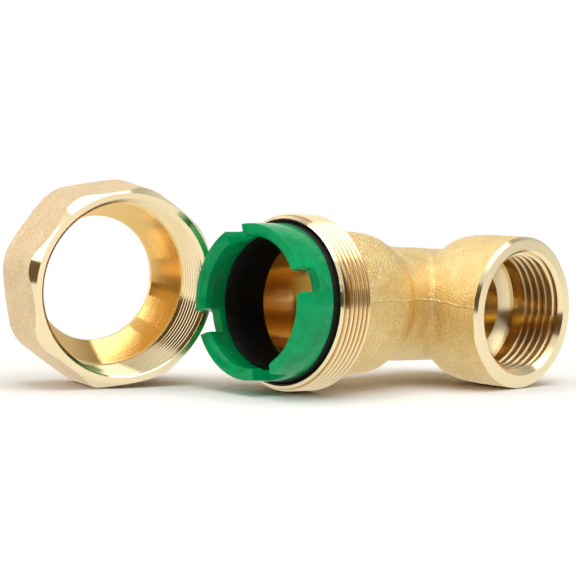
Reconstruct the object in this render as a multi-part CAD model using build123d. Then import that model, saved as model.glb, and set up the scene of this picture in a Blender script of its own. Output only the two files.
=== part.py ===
"""Brass compression elbow for 32 mm polyethylene pipe with a female G 1 outlet, its clamp nut taken off.

Millimetres. Each piece is drawn about its own axes and then set down as it lies on the floor.
Elbow axes: X out of the pipe mouth, Y out of the threaded socket, Z up, origin where the two axes cross.
Nut axes: X out of its threaded mouth, Z up, origin at the middle of its front face.
"""

import math
import os

from build123d import *

PIPE_DIAMETER = 32.0
WATERWAY_DIAMETER = 24.0

MOUTH_FACE = 60.4
CLAMP_THREAD_DIAMETER = 45.0
CLAMP_THREAD_LENGTH = 10.0
CLAMP_THREAD_LEAD_IN = 1.1
SEAL_BORE_DIAMETER = 41.2
SEAL_SEAT_DEPTH = 8.0
PIPE_BORE_PLAY = 0.3
PIPE_STOP = 36.0

BULB_DIAMETER = 37.8
BULB_END = 32.0
BULB_STEP = 0.6
NECK_DIAMETER = 31.6

SOCKET_FACE = 30.1
SOCKET_DIAMETER = 40.4
SOCKET_CHAMFER = 1.0
SOCKET_SHOULDER_START = 4.0
SOCKET_SHOULDER_END = 14.0
SOCKET_SHOULDER_RISE = 0.45
SOCKET_SHOULDER_FULLNESS = 0.68
SOCKET_MINOR_DIAMETER = 30.29
SOCKET_MOUTH_DIAMETER = 33.4
SOCKET_RELIEF_DIAMETER = 33.0
SOCKET_RELIEF_LENGTH = 4.1
SOCKET_STOP = 12.9
CORNER_FILLET = 1.0

SEAL_LENGTH = 9.3
SEAL_FIT = 0.15
SEAL_FRONT_DIAMETER = 40.2
SEAL_BORE_PLAY = 0.6
SEAL_EDGE = 0.8
SEAL_FRONT_LENGTH = 2.0

RING_LENGTH = 10.1
RING_FRONT_DIAMETER = 39.0
RING_BASE_DIAMETER = 39.9
RING_BASE_WEB = 4.3
RING_PLAY = 1.0
RING_LEAD_IN = 0.9
RING_LIP_LENGTH = 2.2
RING_LIP_STEP = 0.5
RING_NOTCHES = 4
RING_NOTCH_WIDTH = 6.2
RING_NOTCH_ANGLE = 20.5
RING_NOTCH_CORNER = 0.8

NUT_FLATS = 8
NUT_ACROSS_FLATS = 48.8
NUT_DRAFT = 3.0
NUT_LENGTH = 23.2
NUT_CORNER = 3.5
NUT_FACE_DIAMETER = 48.2
NUT_FRONT_CONE = 30.0
NUT_REAR_START = 17.6
NUT_REAR_DIAMETER = 41.0
NUT_MINOR_DIAMETER = 43.4
NUT_MOUTH_DIAMETER = 46.6
NUT_MOUTH_CHAMFER = 1.3
NUT_THREAD_END = 13.4
NUT_CONE_START_DIAMETER = 42.6
NUT_HOLE_DIAMETER = 32.9
NUT_HOLE_LAND = 1.6

ELBOW_YAW = -135.6
NUT_YAW = -60.5
NUT_ROLL = 9.0
NUT_FROM_CORNER_X = -81.7
NUT_FROM_CORNER_Y = -37.7
NUT_CONTACT_GAP = 0.02


def turned(points, axis):
    """A solid of revolution from (distance along the axis, radius) points."""
    if axis == "X":
        outline = Polyline(*[(d, r, 0) for d, r in points], close=True)
        return revolve(make_face(outline), Axis.X)
    outline = Polyline(*[(r, d, 0) for d, r in points], close=True)
    return revolve(make_face(outline), Axis.Y)


# The cast and turned body, one solid: pipe socket, round bulb, neck, ball corner and threaded socket.
thread_r = CLAMP_THREAD_DIAMETER / 2
bulb_r = BULB_DIAMETER / 2
neck_r = NECK_DIAMETER / 2
thread_rear = MOUTH_FACE - CLAMP_THREAD_LENGTH
half = math.sqrt(0.5)
drop = bulb_r - neck_r
round_r = drop / 2 / (1 - half)
foot = BULB_END - round_r * half
crown = BULB_END + round_r * half
barrel_outline = (
    Polyline((0, 0), (0, neck_r), (foot, neck_r))
    + ThreePointArc(
        (foot, neck_r),
        (foot + round_r * math.sin(math.pi / 8), neck_r + round_r * (1 - math.cos(math.pi / 8))),
        (BULB_END, neck_r + drop / 2),
    )
    + ThreePointArc(
        (BULB_END, neck_r + drop / 2),
        (crown - round_r * math.sin(math.pi / 8), bulb_r - round_r * (1 - math.cos(math.pi / 8))),
        (crown, bulb_r),
    )
    + Polyline(
        (crown, bulb_r),
        (thread_rear - BULB_STEP, bulb_r),
        (thread_rear, bulb_r + BULB_STEP),
        (thread_rear, thread_r),
        (MOUTH_FACE - CLAMP_THREAD_LEAD_IN, thread_r),
        (MOUTH_FACE, thread_r - CLAMP_THREAD_LEAD_IN),
        (MOUTH_FACE, 0),
        (0, 0),
    )
)
barrel = Rot(180, 0, 0) * revolve(make_face(barrel_outline), Axis.X)

socket_r = SOCKET_DIAMETER / 2
rise = SOCKET_SHOULDER_START + SOCKET_SHOULDER_RISE * (SOCKET_SHOULDER_END - SOCKET_SHOULDER_START)
half_r = neck_r + SOCKET_SHOULDER_FULLNESS * (socket_r - neck_r)
socket_outline = ThreePointArc(
    (neck_r, SOCKET_SHOULDER_START), (half_r, rise), (socket_r, SOCKET_SHOULDER_END)
) + Polyline(
    (socket_r, SOCKET_SHOULDER_END),
    (socket_r, SOCKET_FACE - SOCKET_CHAMFER),
    (socket_r - SOCKET_CHAMFER, SOCKET_FACE),
    (0, SOCKET_FACE),
    (0, 0),
    (neck_r, 0),
    (neck_r, SOCKET_SHOULDER_START),
)
socket = Rot(0, 180, 0) * revolve(make_face(socket_outline), Axis.Y)
body = barrel + socket + Sphere(neck_r)
meeting = body.edges().filter_by(GeomType.BSPLINE)
body = fillet(meeting, CORNER_FILLET)

# The bores of the body, from the pipe mouth round to the threaded socket. The mouth also clears the seal's bead.
seal_bore_r = SEAL_BORE_DIAMETER / 2
pipe_bore_r = (PIPE_DIAMETER + PIPE_BORE_PLAY) / 2
water_r = WATERWAY_DIAMETER / 2
seal_seat = MOUTH_FACE - SEAL_SEAT_DEPTH
seal_front = seal_seat + SEAL_LENGTH
bead_start = seal_front - SEAL_FRONT_LENGTH
bead_r = SEAL_FRONT_DIAMETER / 2
pipe_side = turned(
    [
        (0, 0),
        (0, water_r),
        (PIPE_STOP, water_r),
        (PIPE_STOP, pipe_bore_r),
        (seal_seat, pipe_bore_r),
        (seal_seat, seal_bore_r),
        (MOUTH_FACE + 1, seal_bore_r),
        (MOUTH_FACE + 1, 0),
    ],
    "X",
)
bead_r_cleared = bead_r + SEAL_FIT
bead_way = turned(
    [(bead_start, 0), (bead_start, bead_r_cleared), (seal_front, bead_r_cleared), (seal_front, 0)], "X"
)
minor_r = SOCKET_MINOR_DIAMETER / 2
mouth_r = SOCKET_MOUTH_DIAMETER / 2
relief_r = SOCKET_RELIEF_DIAMETER / 2
relief_end = SOCKET_STOP + SOCKET_RELIEF_LENGTH
socket_side = turned(
    [
        (0, 0),
        (0, water_r),
        (SOCKET_STOP, water_r),
        (SOCKET_STOP, relief_r),
        (relief_end, relief_r),
        (relief_end, minor_r),
        (SOCKET_FACE - (mouth_r - minor_r), minor_r),
        (SOCKET_FACE, mouth_r),
        (SOCKET_FACE + 1, mouth_r),
        (SOCKET_FACE + 1, 0),
    ],
    "Y",
)
body = body - pipe_side - bead_way - socket_side - Sphere(water_r)

# The rubber seal: a sleeve pressed into the mouth's counterbore, its front bead standing out of it.
seal_r = seal_bore_r - SEAL_FIT
seal_inner_r = (PIPE_DIAMETER + SEAL_BORE_PLAY) / 2
bead_slope = min(abs(seal_r - bead_r), (SEAL_FRONT_LENGTH - SEAL_EDGE) / 2)
seal = turned(
    [
        (seal_seat, seal_inner_r),
        (seal_seat, seal_r),
        (bead_start, seal_r),
        (bead_start + bead_slope, bead_r),
        (seal_front - SEAL_EDGE, bead_r),
        (seal_front, bead_r - SEAL_EDGE),
        (seal_front, seal_inner_r),
    ],
    "X",
)

# The clamp ring: a short tapered collar notched into fingers, standing on the seal's front face.
ring_front = seal_front + RING_LENGTH
ring_inner_r = (PIPE_DIAMETER + RING_PLAY) / 2
lip_end = ring_front - RING_LEAD_IN - RING_LIP_LENGTH
ring = turned(
    [
        (seal_front, ring_inner_r + RING_LIP_STEP),
        (seal_front, RING_BASE_DIAMETER / 2),
        (ring_front, RING_FRONT_DIAMETER / 2),
        (ring_front, ring_inner_r + RING_LEAD_IN),
        (ring_front - RING_LEAD_IN, ring_inner_r),
        (lip_end, ring_inner_r),
        (lip_end - RING_LIP_STEP, ring_inner_r + RING_LIP_STEP),
    ],
    "X",
)
notch_floor = seal_front + RING_BASE_WEB
notch_depth = RING_LENGTH - RING_BASE_WEB + 2
notch = Box(notch_depth, RING_BASE_DIAMETER / 2, RING_NOTCH_WIDTH)
notch = fillet(notch.edges().filter_by(Axis.Y).group_by(Axis.X)[0], RING_NOTCH_CORNER)
notch = Pos(notch_floor + notch_depth / 2, RING_BASE_DIAMETER / 2, 0) * notch
for k in range(RING_NOTCHES):
    ring = ring - Rot(RING_NOTCH_ANGLE + k * 360 / RING_NOTCHES, 0, 0) * notch

# The clamp nut: an eight-sided casting with drafted flats, turned front and rear, threaded and coned inside.
face_apothem = NUT_ACROSS_FLATS / 2
rear_apothem = face_apothem + NUT_LENGTH * math.tan(math.radians(NUT_DRAFT))
flat_angle = 180 / NUT_FLATS
front_plane = Plane(origin=(0, 0, 0), x_dir=(0, 1, 0), z_dir=(-1, 0, 0))
rear_plane = Plane(origin=(-NUT_LENGTH, 0, 0), x_dir=(0, 1, 0), z_dir=(-1, 0, 0))
front_sketch = front_plane * RegularPolygon(
    face_apothem, NUT_FLATS, major_radius=False, rotation=flat_angle
)
rear_sketch = rear_plane * RegularPolygon(
    rear_apothem, NUT_FLATS, major_radius=False, rotation=flat_angle
)
nut = loft([front_sketch, rear_sketch])
long_edges = [e for e in nut.edges() if e.bounding_box().size.X > NUT_LENGTH * 0.9]
nut = fillet(long_edges, NUT_CORNER)
face_r = NUT_FACE_DIAMETER / 2
spread = math.tan(math.radians(NUT_FRONT_CONE))
widest_r = rear_apothem / math.cos(math.radians(flat_angle))
nut = nut & turned(
    [
        (0, 0),
        (0, face_r),
        (-(widest_r - face_r) / spread, widest_r),
        (-NUT_REAR_START, widest_r),
        (-NUT_LENGTH, NUT_REAR_DIAMETER / 2),
        (-NUT_LENGTH, 0),
    ],
    "X",
)
nut_minor_r = NUT_MINOR_DIAMETER / 2
nut_mouth_r = NUT_MOUTH_DIAMETER / 2
hole_r = NUT_HOLE_DIAMETER / 2
cone_r = NUT_CONE_START_DIAMETER / 2
nut = nut - turned(
    [
        (1, 0),
        (1, nut_mouth_r),
        (0, nut_mouth_r),
        (-NUT_MOUTH_CHAMFER, nut_minor_r),
        (-NUT_THREAD_END, nut_minor_r),
        (-NUT_THREAD_END, cone_r),
        (-NUT_LENGTH + NUT_HOLE_LAND, hole_r),
        (-NUT_LENGTH - 1, hole_r),
        (-NUT_LENGTH - 1, 0),
    ],
    "X",
)

# The elbow lies on its round socket and on the rear edge of its clamp thread.
reach = math.hypot(thread_rear, thread_r)
lean = math.degrees(math.atan2(thread_r, thread_rear) - math.asin(socket_r / reach))
elbow_place = Pos(0, 0, socket_r) * Rot(0, 0, ELBOW_YAW) * Rot(0, -lean, 0)
body = elbow_place * body
seal = elbow_place * seal
ring = elbow_place * ring

# The nut lies beside it on a long edge, which its draft tips a little towards the mouth.
edge_tip = math.cos(math.radians(flat_angle - NUT_ROLL)) / math.cos(math.radians(flat_angle))
tilt = math.degrees(math.atan(math.tan(math.radians(NUT_DRAFT)) * edge_tip))
nut = Rot(0, 0, NUT_YAW) * Rot(0, tilt, 0) * Rot(NUT_ROLL, 0, 0) * nut
nut = Pos(NUT_FROM_CORNER_X, NUT_FROM_CORNER_Y, -nut.bounding_box().min.Z) * nut

# It is slid along the floor until its rim leans on the elbow, which keeps it from rolling onto a flat.
gap = min(nut.distance_to(piece) for piece in (body, seal, ring))
while gap > NUT_CONTACT_GAP:
    nut = Pos(0, -gap + NUT_CONTACT_GAP / 2, 0) * nut
    gap = min(nut.distance_to(piece) for piece in (body, seal, ring))

# All four are moved together so that the origin is under the middle of the whole.
whole = Compound([body, seal, ring, nut]).bounding_box()
centre = Pos(-whole.center().X, -whole.center().Y, -whole.min.Z)
nodes = {
    "elbow_body": centre * body,
    "pipe_seal": centre * seal,
    "clamp_ring": centre * ring,
    "clamp_nut": centre * nut,
}

os.makedirs("parts", exist_ok=True)
for name, shape in nodes.items():
    solid = shape.solids()[0]
    solid.label = name
    export_step(solid, "parts/" + name + ".step")
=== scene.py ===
import math

import bpy
from mathutils import Euler, Matrix


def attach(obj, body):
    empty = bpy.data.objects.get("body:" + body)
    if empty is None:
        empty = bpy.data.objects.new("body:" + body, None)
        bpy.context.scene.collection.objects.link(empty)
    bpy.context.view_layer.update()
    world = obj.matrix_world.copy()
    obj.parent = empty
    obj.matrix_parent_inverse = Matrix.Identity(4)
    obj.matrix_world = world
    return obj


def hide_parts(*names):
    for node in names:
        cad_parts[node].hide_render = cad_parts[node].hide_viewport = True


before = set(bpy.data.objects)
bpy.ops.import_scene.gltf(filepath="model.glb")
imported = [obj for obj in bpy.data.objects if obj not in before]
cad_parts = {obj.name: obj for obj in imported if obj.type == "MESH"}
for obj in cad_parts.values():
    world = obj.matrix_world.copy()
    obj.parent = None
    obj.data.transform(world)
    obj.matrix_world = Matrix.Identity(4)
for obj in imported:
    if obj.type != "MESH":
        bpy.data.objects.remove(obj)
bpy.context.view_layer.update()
bpy.ops.object.select_all(action="DESELECT")

# Elbow casting: bulb, neck, ball corner and outlet socket in one piece of cast and blasted brass.
# Three turned blanks are fused by a voxel remesh and relaxed, which leaves the soft rounds of a casting.
# It is worked in its own frame: X out of the pipe mouth, Y out of the outlet, millimetres in the outlines.
elbow_turn = Euler((0, math.radians(-2.5895), math.radians(-135.6)))
elbow_place = Matrix.Translation((0.039392, 0.024165, 0.0202)) @ elbow_turn.to_matrix().to_4x4()
neck_r = 15.5
bulb_r = 18.9
socket_r = 20.2
voxel = 0.0005
lump_size = 0.005
lump_depth = 0.0003


def outline(name, points, axis):
    """Draws (along, radius) points in millimetres as an edge chain beside the X or the Y axis."""
    bpy.ops.object.select_all(action="DESELECT")
    bpy.ops.mesh.primitive_plane_add(location=(0, 0, 0))
    chain = bpy.context.object
    chain.name = name
    bpy.ops.object.mode_set(mode="EDIT")
    bpy.ops.mesh.select_all(action="SELECT")
    bpy.ops.mesh.merge(type="CENTER")
    last = (0.0, 0.0)
    for number, point in enumerate(points):
        along = (point[0] - last[0]) / 1000
        out = (point[1] - last[1]) / 1000
        step = (along, out, 0) if axis == "X" else (out, along, 0)
        if number == 0:
            bpy.ops.transform.translate(value=step)
        else:
            bpy.ops.mesh.extrude_region_move(TRANSFORM_OT_translate={"value": step})
        last = point
    bpy.ops.object.mode_set(mode="OBJECT")
    return chain


def turned(name, points, axis, steps=144):
    """Spins an outline into a closed turned blank."""
    blank = outline(name, points, axis)
    bpy.ops.object.mode_set(mode="EDIT")
    bpy.ops.mesh.select_all(action="SELECT")
    about = (1, 0, 0) if axis == "X" else (0, 1, 0)
    bpy.ops.mesh.spin(steps=steps, angle=2 * math.pi, center=(0, 0, 0), axis=about)
    bpy.ops.mesh.select_all(action="SELECT")
    bpy.ops.mesh.remove_doubles(threshold=1e-6)
    bpy.ops.mesh.normals_make_consistent(inside=False)
    bpy.ops.object.mode_set(mode="OBJECT")
    return blank


def rgb(code):
    """Linear colour of an sRGB hex code."""
    parts = [int(code[i : i + 2], 16) / 255 for i in (0, 2, 4)]
    return [c / 12.92 if c <= 0.04045 else ((c + 0.055) / 1.055) ** 2.4 for c in parts] + [1.0]


def node(material, kind, inputs={}, stops=(), **settings):
    """Adds a node with its settings; an input is a value or the socket that feeds it, stops colour a ramp."""
    tree = material.node_tree
    made = tree.nodes.new(kind)
    for key, value in settings.items():
        setattr(made, key, value)
    for key, value in inputs.items():
        if isinstance(value, bpy.types.NodeSocket):
            tree.links.new(value, made.inputs[key])
        else:
            made.inputs[key].default_value = value
    if stops:
        marks = made.color_ramp.elements
        marks.remove(marks[1])
        marks[0].position, marks[0].color = stops[0]
        for position, colour in stops[1:]:
            marks.new(position).color = colour
    return made


def own_axes(material, place, turn):
    """A piece's own X, Y and Z for its material, from Object coordinates turned back to its frame."""
    where = node(material, "ShaderNodeTexCoord").outputs["Object"]
    frame_of_piece = {"Vector": where, "Location": place.to_translation(), "Rotation": turn}
    own = node(material, "ShaderNodeMapping", frame_of_piece, vector_type="TEXTURE")
    return node(material, "ShaderNodeSeparateXYZ", {"Vector": own.outputs[0]}).outputs


# Blasted cast brass: a warm, softly shining skin with grit marks 0.4 mm across, paler and darker
# patches of 6 mm, painted shade that browns the hollows and creases, and the raised seam of the mould
# 3.5 mm above the middle, which tilts a little and wanders by 1.6 mm.
grit = 0.00042
patch = 0.006
seam_lift = 0.0035
seam_tilt = 0.09
seam_wander = 0.0016
cast_brass = bpy.data.materials.new("cast_brass_blasted")
cast_brass.use_nodes = True
shader = cast_brass.node_tree.nodes["Principled BSDF"]
where = node(cast_brass, "ShaderNodeTexCoord").outputs["Object"]
fine = {"Vector": where, "Scale": 1 / grit, "Detail": 2.0, "Roughness": 0.6}
grain = node(cast_brass, "ShaderNodeTexNoise", fine).outputs["Fac"]
broad = {"Vector": where, "Scale": 1 / patch, "Detail": 5.0, "Roughness": 0.65}
patches = node(cast_brass, "ShaderNodeTexNoise", broad).outputs["Fac"]
cloud = node(cast_brass, "ShaderNodeMath", {0: patches, 1: 0.3}, operation="MULTIPLY").outputs[0]
speck = node(cast_brass, "ShaderNodeMath", {0: grain, 1: 0.7, 2: cloud}, operation="MULTIPLY_ADD")
tone = node(
    cast_brass,
    "ShaderNodeValToRGB",
    {"Fac": speck.outputs[0]},
    stops=[(0.36, rgb("deb96c")), (0.62, rgb("f8e0a6"))],
    name="skin_tone",
)
# Painted shade: concave hollows and creases, found by pointiness, are mixed towards a darker brown.
point = node(cast_brass, "ShaderNodeNewGeometry").outputs["Pointiness"]
painted_crease_shade = node(cast_brass, "ShaderNodeMapRange", {"Value": point, "From Min": 0.44, "From Max": 0.495})
tone_and_crease_shade = node(
    cast_brass,
    "ShaderNodeMix",
    {0: painted_crease_shade.outputs["Result"], 6: rgb("b98a45"), 7: tone.outputs["Color"]},
    data_type="RGBA",
)
rough = node(cast_brass, "ShaderNodeMapRange", {"Value": grain, "To Min": 0.32, "To Max": 0.48})
xyz = own_axes(cast_brass, elbow_place, elbow_turn)
level = node(
    cast_brass, "ShaderNodeMath", {0: xyz["Y"], 1: seam_tilt, 2: xyz["Z"]}, operation="MULTIPLY_ADD"
)
wander = node(
    cast_brass,
    "ShaderNodeMath",
    {0: patches, 1: seam_wander, 2: -seam_wander / 2 - seam_lift},
    operation="MULTIPLY_ADD",
)
offset = node(cast_brass, "ShaderNodeMath", {0: level.outputs[0], 1: wander.outputs[0]}, operation="ADD")
away = node(cast_brass, "ShaderNodeMath", {0: offset.outputs[0]}, operation="ABSOLUTE")
seam = node(
    cast_brass,
    "ShaderNodeMapRange",
    {"Value": away.outputs[0], "From Min": 0.0001, "From Max": 0.0003, "To Min": 1.0, "To Max": 0.0},
)
relief = node(
    cast_brass,
    "ShaderNodeMath",
    {0: seam.outputs["Result"], 1: 0.8, 2: grain},
    operation="MULTIPLY_ADD",
    name="seam_height",
)
bump = node(
    cast_brass, "ShaderNodeBump", {"Height": relief.outputs[0], "Strength": 1.0, "Distance": 0.0003}
)
cast_brass.node_tree.links.new(tone_and_crease_shade.outputs[2], shader.inputs["Base Color"])
cast_brass.node_tree.links.new(rough.outputs["Result"], shader.inputs["Roughness"])
cast_brass.node_tree.links.new(bump.outputs["Normal"], shader.inputs["Normal"])
shader.inputs["Metallic"].default_value = 1.0

barrel = turned(
    "barrel",
    [
        (0, 0), (0, neck_r), (27.6, neck_r), (28.1, 16.2), (28.9, 16.9), (30.2, 17.7),
        (31.8, 18.35), (33.6, 18.75), (35.7, bulb_r), (57.0, bulb_r), (57.0, 0),
    ],
    "X",
)
socket = turned(
    "socket",
    [
        (0, 0), (0, neck_r), (6.8, neck_r), (7.1, 17.0), (8.1, 18.2), (10.0, 19.2),
        (12.6, 19.85), (15.3, 20.12), (17.8, socket_r), (38.0, socket_r), (38.0, 0),
    ],
    "Y",
)
bpy.ops.object.select_all(action="DESELECT")
bpy.ops.mesh.primitive_uv_sphere_add(segments=64, ring_count=32, radius=neck_r / 1000)
elbow = bpy.context.object
elbow.name = "elbow"
barrel.select_set(True)
socket.select_set(True)
bpy.ops.object.join()
elbow.data.remesh_voxel_size = voxel
bpy.ops.object.voxel_remesh()
relax = elbow.modifiers.new("relax", "SMOOTH")
relax.factor = 0.5
relax.iterations = 28
bpy.ops.object.modifier_apply(modifier="relax")
lumps = bpy.data.textures.new("casting_lumps", "CLOUDS")
lumps.noise_scale = lump_size
uneven = elbow.modifiers.new("uneven", "DISPLACE")
uneven.texture = lumps
uneven.texture_coords = "LOCAL"
uneven.mid_level = 1.0
uneven.strength = lump_depth
bpy.ops.object.modifier_apply(modifier="uneven")
elbow.data.materials.clear()
elbow.data.materials.append(cast_brass)

# Turned surfaces of the elbow: clamp thread, bores, outlet thread, faces and chamfers, cut bright.
# The clamp thread is a screw-swept rod with its lead-in cut; everything else is cut out of the casting.
# The clamp thread fits the nut's, and the outlet has a 1 inch pipe thread.
mouth_face = 60.4
clamp_pitch = 1.5
clamp_thread_start = 50.4
water_r = 12
pipe_stop = 36
pipe_r = 16.15
seal_seat = 51.2
seal_seat_r = 20.6
outlet_face = 30.1
outlet_pitch = 2.309
outlet_minor_r = 15.2
relief_r = 16.5
relief_end = 17.0


def turned_finish(name, place, turn, axis, limits, tones, roughness):
    """Bright brass with tool rings about an axis, toned by (radius, colour) between two limits, in mm."""
    # Fine turning reflects along its rings; they are drawn 0.35 mm apart so that they show.
    ring_gap = 0.00035
    inner, outer = 10, 30
    made = bpy.data.materials.new(name)
    made.use_nodes = True
    shader = made.node_tree.nodes["Principled BSDF"]
    where = node(made, "ShaderNodeTexCoord").outputs["Object"]
    xyz = own_axes(made, place, turn)
    along, beside = (xyz[0], xyz[1]) if axis == "X" else (xyz[1], xyz[0])
    across = node(made, "ShaderNodeCombineXYZ", {"X": beside, "Y": xyz[2]}).outputs[0]
    radius = node(made, "ShaderNodeVectorMath", {0: across}, operation="LENGTH").outputs["Value"]
    rings = node(made, "ShaderNodeCombineXYZ", {"X": along, "Y": radius}).outputs[0]
    lines = node(made, "ShaderNodeTexNoise", {"Vector": rings, "Scale": 1 / ring_gap, "Detail": 2.0})
    marks = {"Height": lines.outputs["Fac"], "Strength": 0.4, "Distance": 0.00005}
    bump = node(made, "ShaderNodeBump", marks)
    reach = {"Value": radius, "From Min": inner / 1000, "From Max": outer / 1000}
    share = node(made, "ShaderNodeMapRange", reach).outputs["Result"]
    middle = (limits[0] + limits[1]) / 2000
    half = (limits[1] - limits[0]) / 2000
    within = node(made, "ShaderNodeMath", {0: along, 1: middle, 2: half}, operation="COMPARE").outputs[0]
    toned = node(made, "ShaderNodeMath", {0: share, 1: within}, operation="MULTIPLY").outputs[0]
    stops = [((mm - inner) / (outer - inner), rgb(code)) for mm, code in tones]
    tone = node(made, "ShaderNodeValToRGB", {"Fac": toned}, stops=stops)
    spoke = node(made, "ShaderNodeVectorMath", {0: where, 1: place.to_translation()}, operation="SUBTRACT")
    pin = place.col[0 if axis == "X" else 1].to_3d()
    round_it = node(made, "ShaderNodeVectorMath", {0: pin, 1: spoke.outputs[0]}, operation="CROSS_PRODUCT")
    heading = node(made, "ShaderNodeVectorMath", {0: round_it.outputs[0]}, operation="NORMALIZE")
    made.node_tree.links.new(heading.outputs[0], shader.inputs["Tangent"])
    made.node_tree.links.new(bump.outputs["Normal"], shader.inputs["Normal"])
    made.node_tree.links.new(tone.outputs["Color"], shader.inputs["Base Color"])
    shader.inputs["Metallic"].default_value = 1.0
    shader.inputs["Roughness"].default_value = roughness
    shader.inputs["Anisotropic"].default_value = 0.8
    shader.inputs["Anisotropic Rotation"].default_value = 0.25
    return made


# Fresh brass on crests and faces, browner in the thread roots and in the relief behind the outlet thread.
fresh = "f9e6ba"
pipe_tones = [
    (11.0, fresh), (11.9, "f5ca70"), (20.6, fresh),
    (21.1, "c4964c"), (21.75, "c4964c"), (22.3, fresh),
]
outlet_tones = [(15.3, fresh), (16.1, "e9c682"), (16.6, "e9c682"), (16.65, fresh)]
turned_brass = {}
for axis, limits, tones, roughness in (
    ("X", (-20, 59.4), pipe_tones, 0.2),
    ("Y", (-20, 29.2), outlet_tones, 0.22),
):
    name = "turned_brass_about_" + axis.lower()
    turned_brass[axis] = turned_finish(name, elbow_place, elbow_turn, axis, limits, tones, roughness)


def screw_rod(name, start, end, pitch, root_r, crest_r, axis, steps=144):
    """A threaded rod: one pitch of thread outline swept by a Screw modifier, cut square at both ends."""
    first = start - 2 * pitch
    rod = outline(
        name,
        [
            (first, root_r), (first + 0.25 * pitch, root_r), (first + 0.56 * pitch, crest_r),
            (first + 0.69 * pitch, crest_r), (first + pitch, root_r),
        ],
        axis,
    )
    sweep = rod.modifiers.new("sweep", "SCREW")
    sweep.axis = axis
    sweep.angle = 2 * math.pi
    sweep.screw_offset = pitch / 1000
    sweep.iterations = math.ceil((end - start) / pitch) + 4
    sweep.steps = steps
    sweep.render_steps = steps
    sweep.use_merge_vertices = True
    sweep.merge_threshold = 1e-6
    bpy.ops.object.modifier_apply(modifier="sweep")
    bpy.ops.object.mode_set(mode="EDIT")
    bpy.ops.mesh.select_all(action="SELECT")
    bpy.ops.mesh.remove_doubles(threshold=1e-6)
    for place, sign in ((start, -1), (end, 1)):
        bpy.ops.mesh.select_all(action="SELECT")
        spot = (place / 1000, 0, 0) if axis == "X" else (0, place / 1000, 0)
        away = (sign, 0, 0) if axis == "X" else (0, sign, 0)
        bpy.ops.mesh.bisect(plane_co=spot, plane_no=away, use_fill=True, clear_outer=True, threshold=1e-7)
    bpy.ops.mesh.select_all(action="SELECT")
    bpy.ops.mesh.remove_doubles(threshold=1e-6)
    bpy.ops.mesh.normals_make_consistent(inside=False)
    bpy.ops.object.mode_set(mode="OBJECT")
    return rod


def work(piece, tool, operation, material):
    """Joins or cuts a piece with a tool body whose faces bring their own finish, and clears the tool away."""
    tool.data.materials.clear()
    tool.data.materials.append(material)
    bpy.ops.object.select_all(action="DESELECT")
    bpy.context.view_layer.objects.active = piece
    piece.select_set(True)
    step = piece.modifiers.new("work", "BOOLEAN")
    step.operation = operation
    step.object = tool
    step.solver = "MANIFOLD"
    step.material_mode = "TRANSFER"
    bpy.ops.object.modifier_apply(modifier="work")
    bpy.data.objects.remove(tool)


def set_down(piece, place, crease):
    """Moves a finished piece from its own frame to its place and smooths all but creases, in degrees."""
    bpy.ops.object.select_all(action="DESELECT")
    piece.select_set(True)
    bpy.context.view_layer.objects.active = piece
    piece.matrix_world = place
    bpy.ops.object.transform_apply()
    bpy.ops.object.shade_smooth_by_angle(angle=math.radians(crease))


clamp_thread = screw_rod(
    "clamp_thread", clamp_thread_start, mouth_face, clamp_pitch, root_r=21.6, crest_r=22.5, axis="X"
)
lead_in = turned(
    "lead_in", [(57.4, 23.2), (mouth_face, 21.2), (61.5, 21.2), (61.5, 23.2), (57.4, 23.2)], "X"
)
clamp_thread.data.materials.append(turned_brass["X"])
work(clamp_thread, lead_in, "DIFFERENCE", turned_brass["X"])
work(elbow, clamp_thread, "UNION", turned_brass["X"])
pipe_bore = turned(
    "pipe_bore",
    [
        (-1, 0), (-1, water_r), (pipe_stop, water_r), (pipe_stop, pipe_r), (seal_seat, pipe_r),
        (seal_seat, seal_seat_r), (59.9, seal_seat_r), (60.6, 21.3), (62, 21.3), (62, 0),
    ],
    "X",
)
work(elbow, pipe_bore, "DIFFERENCE", turned_brass["X"])
bpy.ops.mesh.primitive_uv_sphere_add(segments=64, ring_count=32, radius=water_r / 1000)
work(elbow, bpy.context.object, "DIFFERENCE", turned_brass["X"])
outlet_bore = turned(
    "outlet_bore",
    [
        (-1, 0), (-1, water_r), (11.3, water_r), (12.9, 16.3), (13.1, relief_r), (relief_end, relief_r),
        (relief_end, outlet_minor_r), (28.6, outlet_minor_r), (outlet_face, 16.7),
        (outlet_face, 19.2), (28.1, 21.2), (28.1, 24), (42, 24), (42, 0),
    ],
    "Y",
)
work(elbow, outlet_bore, "DIFFERENCE", turned_brass["Y"])
outlet_thread = screw_rod(
    "outlet_thread", relief_end - 0.5, outlet_face + 0.9, outlet_pitch, root_r=15.15, crest_r=16.6, axis="Y"
)
work(elbow, outlet_thread, "DIFFERENCE", turned_brass["Y"])
set_down(elbow, elbow_place, crease=32)
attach(elbow, "root")
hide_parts("elbow_body")

# Pipe seal: a moulded black rubber sleeve that sits in the mouth, its front bead standing a little proud.
# A turned outline: the bead's edge is rolled over and a thin lip reaches on into the clamp ring.
seal_r = 20.45
seal_bore_r = 16.3
bead_r = 20.1
ring_base = 61.7
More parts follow.
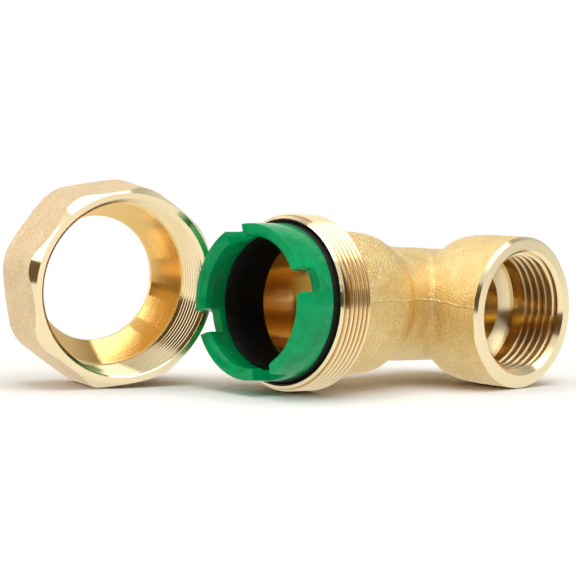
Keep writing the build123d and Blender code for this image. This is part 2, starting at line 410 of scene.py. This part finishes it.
# Moulded nitrile rubber: deep black and dull, with a little grey dust in flecks of 2 mm, and a little greyer
# on the front bead.
fleck = 0.002
rubber = bpy.data.materials.new("nitrile_rubber")
rubber.use_nodes = True
shader = rubber.node_tree.nodes["Principled BSDF"]
where = node(rubber, "ShaderNodeTexCoord").outputs["Object"]
specks = {"Vector": where, "Scale": 1 / fleck, "Detail": 6.0, "Roughness": 0.7}
dust = node(rubber, "ShaderNodeTexNoise", specks).outputs["Fac"]
along = own_axes(rubber, elbow_place, elbow_turn)["X"]
# The front bead is made a little greyer.
bead = node(
    rubber,
    "ShaderNodeMapRange",
    {"Value": along, "From Min": 0.0598, "From Max": 0.0605, "To Min": 0.0, "To Max": 0.04},
)
flecks_and_bead_grey = node(rubber, "ShaderNodeMath", {0: dust, 1: bead.outputs["Result"]}, operation="ADD")
tone = node(
    rubber,
    "ShaderNodeValToRGB",
    {"Fac": flecks_and_bead_grey.outputs[0]},
    stops=[(0.58, rgb("0b0809")), (0.9, rgb("3d3a38"))],
)
bump = node(rubber, "ShaderNodeBump", {"Height": dust, "Strength": 0.3, "Distance": 0.0001})
rubber.node_tree.links.new(tone.outputs["Color"], shader.inputs["Base Color"])
rubber.node_tree.links.new(bump.outputs["Normal"], shader.inputs["Normal"])
shader.inputs["Roughness"].default_value = 0.55
shader.inputs["Specular IOR Level"].default_value = 0.25
seal = turned(
    "seal",
    [
        (seal_seat, seal_bore_r), (seal_seat, seal_r), (59.7, seal_r), (60.05, bead_r), (60.9, bead_r),
        (61.3, 19.98), (61.6, 19.7), (ring_base, 19.3), (ring_base, 16.9), (64.0, 16.9), (64.3, 16.7),
        (64.4, 16.4), (64.3, seal_bore_r), (seal_seat, seal_bore_r),
    ],
    "X",
)
seal.data.materials.append(rubber)
set_down(seal, elbow_place, crease=50)
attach(seal, "root")
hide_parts("pipe_seal")

# Clamp ring: a glossy green moulded collar with four notches, pushed up against the seal.
# A turned outline, the notches cut by round-floored blocks, all edges broken by a small bevel.
ring_front = 71.8
ring_bore_r = 17.0
lip_r = 16.5
notch_count = 4
notch_turn = 20.5
notch_spot = (0.0699, 0.0185, 0)
notch_size = (0.0078, 0.012, 0.0062)
notch_corner = 0.0008
broken_edge = 0.0003
# Moulded acetal: an even, bright green with a sharp gloss, a mould ripple of 4 mm, and a patchy
# film of pale dust, in smears of 2.5 mm, on the last 3.5 mm before the seal.
ripple_size = 0.004
smear_size = 0.0025
green = bpy.data.materials.new("moulded_acetal_green")
green.use_nodes = True
shader = green.node_tree.nodes["Principled BSDF"]
where = node(green, "ShaderNodeTexCoord").outputs["Object"]
ripple = node(green, "ShaderNodeTexNoise", {"Vector": where, "Scale": 1 / ripple_size, "Detail": 3.0})
tone = node(
    green,
    "ShaderNodeValToRGB",
    {"Fac": ripple.outputs["Fac"]},
    stops=[(0.3, rgb("009355")), (0.7, rgb("00ad68"))],
)
along = own_axes(green, elbow_place, elbow_turn)["X"]
base = node(green, "ShaderNodeMapRange", {"Value": along, "From Min": 0.0655, "From Max": 0.0620})
smears = {"Vector": where, "Scale": 1 / smear_size, "Detail": 6.0, "Roughness": 0.7}
smear = node(green, "ShaderNodeTexNoise", smears).outputs["Fac"]
patchy = node(
    green, "ShaderNodeMapRange", {"Value": smear, "From Min": 0.5, "From Max": 0.75, "To Max": 0.3}
)
dusty = node(
    green,
    "ShaderNodeMath",
    {0: base.outputs["Result"], 1: patchy.outputs["Result"]},
    operation="MULTIPLY",
)
worn = node(
    green,
    "ShaderNodeMix",
    {0: dusty.outputs[0], 6: tone.outputs["Color"], 7: rgb("8fb3a0")},
    data_type="RGBA",
)
bump = node(
    green, "ShaderNodeBump", {"Height": ripple.outputs["Fac"], "Strength": 0.15, "Distance": 0.0002}
)
green.node_tree.links.new(worn.outputs[2], shader.inputs["Base Color"])
green.node_tree.links.new(bump.outputs["Normal"], shader.inputs["Normal"])
shader.inputs["Roughness"].default_value = 0.16
shader.inputs["Specular IOR Level"].default_value = 0.16


def pick_edges(piece, wanted):
    """Selects, in edit mode, the edges of a piece whose two ends pass a test."""
    bpy.ops.object.mode_set(mode="EDIT")
    bpy.ops.mesh.select_mode(type="EDGE")
    bpy.ops.mesh.select_all(action="DESELECT")
    bpy.ops.object.mode_set(mode="OBJECT")
    for edge in piece.data.edges:
        edge.select = wanted(*[piece.data.vertices[v].co for v in edge.vertices])
    bpy.ops.object.mode_set(mode="EDIT")


ring = turned(
    "ring",
    [
        (ring_base, ring_bore_r), (ring_base, 19.95), (ring_front, 19.5), (ring_front, 17.4), (70.9, lip_r),
        (68.7, lip_r), (68.2, ring_bore_r), (ring_base, ring_bore_r),
    ],
    "X",
)
ring.data.materials.append(green)
bpy.ops.object.select_all(action="DESELECT")
bpy.ops.mesh.primitive_cube_add(size=1, location=notch_spot, scale=notch_size)
notch = bpy.context.object
bpy.ops.object.transform_apply()
pick_edges(notch, lambda a, b: max(a.x, b.x) < notch_spot[0] and abs(a.y - b.y) > notch_size[1] / 2)
bpy.ops.mesh.bevel(offset=notch_corner, segments=5)
bpy.ops.mesh.select_mode(type="VERT")
bpy.ops.object.mode_set(mode="OBJECT")
for k in range(notch_count):
    bpy.ops.object.select_all(action="DESELECT")
    notch.select_set(True)
    bpy.context.view_layer.objects.active = notch
    bpy.ops.object.duplicate()
    cutter = bpy.context.object
    cutter.rotation_euler.x = math.radians(notch_turn + 360 / notch_count * k)
    bpy.ops.object.transform_apply()
    work(ring, cutter, "DIFFERENCE", green)
bpy.data.objects.remove(notch)
broken = ring.modifiers.new("broken_edges", "BEVEL")
broken.width = broken_edge
broken.segments = 3
broken.limit_method = "ANGLE"
broken.angle_limit = math.radians(35)
bpy.ops.object.modifier_apply(modifier="broken_edges")
set_down(ring, elbow_place, crease=40)
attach(ring, "root")
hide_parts("clamp_ring")

# Clamp nut: an eight-sided brass casting with drafted flats, turned on its mouth and cut with a fine thread.
# An eight-sided blank with rounded long edges, cut by the front and rear tools, the bore and the thread.
# It lies off the elbow on one long edge, its rim against the ring; X points out of its mouth.
nut_turn = Euler((math.radians(9.0), math.radians(3.157), math.radians(-60.5)))
nut_place = Matrix.Translation((-0.042308, -0.019621, 0.025457)) @ nut_turn.to_matrix().to_4x4()
half_flats = 24.4
draft = math.tan(math.radians(3))
blank_front = 0.5
blank_rear = -23.7
nut_rear = -23.2
face_r = 24.1
cone_length = 6
cone_rise = 3.464
minor_r = 21.75
hole_r = 16.45
thread_end = -13.4
upper_setback = 0.0038
floor_setback = 0.00145
# Turned brass as on the elbow, a little glossier, with brown thread roots and a warmer inner cone, which is a
# painted warm reflection of the brass that faces it.
nut_tones = [
    # From 16.4 to 20.9 mm the inner cone is toned warmer: painted reflection.
    (16.0, fresh), (16.4, "e8bf76"), (20.9, "e8bf76"), (21.4, fresh),
    (21.9, fresh), (22.4, "b5873f"), (22.62, "b5873f"), (22.7, fresh),
]
nut_brass = turned_finish("turned_brass_nut", nut_place, nut_turn, "X", (-22.5, -1.0), nut_tones, 0.13)
# The nut's flats are blasted paler than the elbow and have no seam; they keep the painted shade in hollows
# and creases.
nut_cast = cast_brass.copy()
nut_cast.name = "cast_brass_nut"
nut_cast.node_tree.nodes["seam_height"].inputs[1].default_value = 0.0
pale = nut_cast.node_tree.nodes["skin_tone"].color_ramp.elements
pale[0].color = rgb("d8b580")
pale[1].color = rgb("f3dcb2")
to_corner = 1 / math.cos(math.pi / 8) / 1000
bpy.ops.object.select_all(action="DESELECT")
bpy.ops.mesh.primitive_cone_add(
    vertices=8,
    radius1=(half_flats - blank_rear * draft) * to_corner,
    radius2=(half_flats - blank_front * draft) * to_corner,
    depth=(blank_front - blank_rear) / 1000,
    location=((blank_front + blank_rear) / 2000, 0, 0),
    rotation=(0, math.radians(90), 0),
)
nut = bpy.context.object
nut.name = "nut"
bpy.ops.object.transform_apply()
bpy.ops.object.mode_set(mode="EDIT")
bpy.ops.mesh.select_all(action="SELECT")
bpy.ops.transform.rotate(value=math.radians(22.5), orient_axis="X", center_override=(0, 0, 0))
bpy.ops.object.mode_set(mode="OBJECT")
# The long edges are rounded to about 9 mm, and the one on the floor to 3.5 mm, so that it touches down.
for upper, setback in ((True, upper_setback), (False, floor_setback)):
    pick_edges(
        nut,
        lambda a, b: abs(a.x - b.x) > 0.02 and ((nut_place @ a).z + (nut_place @ b).z > 0.008) == upper,
    )
    bpy.ops.mesh.bevel(offset=setback, segments=12)
    bpy.ops.mesh.select_mode(type="VERT")
    bpy.ops.object.mode_set(mode="OBJECT")
nut.data.materials.append(nut_cast)
front_tool = turned(
    "front_tool",
    [(0, 0), (0, face_r), (-cone_length, face_r + cone_rise), (-cone_length, 34), (2, 34), (2, 0)],
    "X",
)
work(nut, front_tool, "DIFFERENCE", nut_brass)
rear_tool = turned(
    "rear_tool", [(nut_rear, 0), (nut_rear, 20.5), (-17.6, 27.73), (-17.6, 34), (-25, 34), (-25, 0)], "X"
)
work(nut, rear_tool, "DIFFERENCE", nut_brass)
nut_bore = turned(
    "nut_bore",
    [
        (1, 0), (1, 22.65), (0, 22.65), (-0.8, minor_r), (thread_end, minor_r), (thread_end, 21.3),
        (-21.6, hole_r), (-24.5, hole_r), (-24.5, 0),
    ],
    "X",
)
work(nut, nut_bore, "DIFFERENCE", nut_brass)
nut_thread = screw_rod("nut_thread", -13.0, 0.8, clamp_pitch, root_r=21.7, crest_r=22.6, axis="X")
work(nut, nut_thread, "DIFFERENCE", nut_brass)
set_down(nut, nut_place, crease=20)
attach(nut, "root")
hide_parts("clamp_nut")

# Studio table: a sheet of white paper that takes the object's shadow.
# Camera rays see it fade to plain white away from the object, and the brass mirrors it as pale paper.
bpy.ops.object.select_all(action="DESELECT")
bpy.ops.mesh.primitive_plane_add(size=3.0, location=(0, 0, -0.00002))
table = bpy.context.object
table.name = "table"
paper = bpy.data.materials.new("white_paper")
paper.use_nodes = True
seen_by = node(paper, "ShaderNodeLightPath").outputs
where = node(paper, "ShaderNodeTexCoord").outputs["Object"]
spot = node(paper, "ShaderNodeVectorMath", {0: where}, operation="LENGTH").outputs["Value"]
far = node(paper, "ShaderNodeMapRange", {"Value": spot, "From Min": 0.085, "From Max": 0.2})
behind = node(
    paper,
    "ShaderNodeMath",
    {0: far.outputs["Result"], 1: seen_by["Is Camera Ray"]},
    operation="MULTIPLY",
)
straight = node(paper, "ShaderNodeMath", {0: seen_by["Diffuse Depth"], 1: 0.5}, operation="LESS_THAN")
mirrored = node(
    paper, "ShaderNodeMath", {0: seen_by["Is Glossy Ray"], 1: straight.outputs[0]}, operation="MULTIPLY"
)
lit = node(
    paper,
    "ShaderNodeMath",
    {0: mirrored.outputs[0], 1: 0.75, 2: behind.outputs[0]},
    operation="MULTIPLY_ADD",
)
sheet = node(paper, "ShaderNodeBsdfDiffuse", {"Color": rgb("f9fcff")})
shine = node(paper, "ShaderNodeEmission", {"Color": rgb("ffffff"), "Strength": 1.0})
both = node(paper, "ShaderNodeMixShader", {0: lit.outputs[0], 1: sheet.outputs[0], 2: shine.outputs[0]})
paper.node_tree.links.new(both.outputs[0], paper.node_tree.nodes["Material Output"].inputs["Surface"])
table.data.materials.append(paper)

# Studio room: white to the camera, a white backdrop behind, and a dark room below a slanted edge in front.
# The left is brighter than the right, and the light that reaches matt surfaces is dimmer and warmer.
world = bpy.data.worlds.new("studio") if bpy.context.scene.world is None else bpy.context.scene.world
bpy.context.scene.world = world
world.use_nodes = True
world.node_tree.nodes.clear()
wall_white = rgb("f9f9f9")
ray = node(world, "ShaderNodeLightPath").outputs
sight = node(world, "ShaderNodeTexCoord").outputs["Generated"]
towards = node(world, "ShaderNodeSeparateXYZ", {"Vector": sight}).outputs
facing = node(
    world, "ShaderNodeMapRange", {"Value": towards["Y"], "From Min": -0.5, "From Max": -0.95, "To Max": 0.45}
)
slant = node(world, "ShaderNodeMath", {0: towards["X"], 1: 0.35, 2: towards["Z"]}, operation="MULTIPLY_ADD")
lower = node(
    world, "ShaderNodeMath", {0: slant.outputs[0], 1: facing.outputs["Result"]}, operation="SUBTRACT"
)
dark_front = node(
    world,
    "ShaderNodeValToRGB",
    {"Fac": lower.outputs[0]},
    stops=[(0.17, rgb("5d4b35")), (0.24, wall_white)],
)
backdrop = node(
    world,
    "ShaderNodeValToRGB",
    {"Fac": towards["Z"]},
    stops=[(0.6, wall_white), (0.85, rgb("bfbcb6"))],
)
front = node(world, "ShaderNodeMapRange", {"Value": towards["Y"], "From Min": -0.15, "From Max": 0.1})
room = node(
    world,
    "ShaderNodeMix",
    {0: front.outputs["Result"], 6: dark_front.outputs["Color"], 7: backdrop.outputs["Color"]},
    data_type="RGBA",
)
side = node(
    world,
    "ShaderNodeMapRange",
    {"Value": towards["X"], "From Min": -0.8, "From Max": 0.8, "To Min": 1.3, "To Max": 0.55},
)
uneven_room = node(
    world, "ShaderNodeVectorMath", {0: room.outputs[2], "Scale": side.outputs["Result"]}, operation="SCALE"
)
fill = node(
    world,
    "ShaderNodeMix",
    {0: ray["Is Diffuse Ray"], 6: uneven_room.outputs[0], 7: rgb("c4b6a4")},
    data_type="RGBA",
    blend_type="MULTIPLY",
)
seen = node(
    world,
    "ShaderNodeMix",
    {0: ray["Is Camera Ray"], 6: fill.outputs[2], 7: rgb("ffffff")},
    data_type="RGBA",
)
sky = node(world, "ShaderNodeBackground", {"Color": seen.outputs[2], "Strength": 1.0})
node(world, "ShaderNodeOutputWorld", {"Surface": sky.outputs[0]})
# Soft boxes above and at both sides, all aimed at the object; the sizes are in metres, the powers in watts.
for name, spot, size, power in (
    ("box_above", (0.1, -0.1, 0.9), 0.9, 6.5),
    ("box_left", (-0.8, -0.5, 0.6), 0.6, 2.6),
    ("box_right", (0.8, -0.4, 0.6), 0.6, 1.2),
):
    lamp = bpy.data.lights.new(name, "AREA")
    lamp.shape = "SQUARE"
    lamp.size = size
    lamp.energy = power
    box = bpy.data.objects.new(name, lamp)
    bpy.context.collection.objects.link(box)
    box.location = spot
    box.rotation_euler = (-box.location).to_track_quat("-Z", "Y").to_euler()

# Camera: nearly level, in front of the object and half a metre away, at the photograph's viewing angle.
# Its place and lens come from fitting the object's edges.
camera = bpy.data.cameras.new("camera")
camera.sensor_width = 36
camera.lens = 106.618
eye = bpy.data.objects.new("camera", camera)
bpy.context.collection.objects.link(eye)
eye.matrix_world = Matrix(
    (
        (0.99964, -0.02573, 0.00808, 0.001497),
        (0.00985, 0.06938, -0.99754, -0.446576),
        (0.02510, 0.99726, 0.06961, 0.056483),
        (0, 0, 0, 1),
    )
)
bpy.context.scene.camera = eye
bpy.context.scene.view_settings.view_transform = "Standard"

bpy.context.view_layer.update()
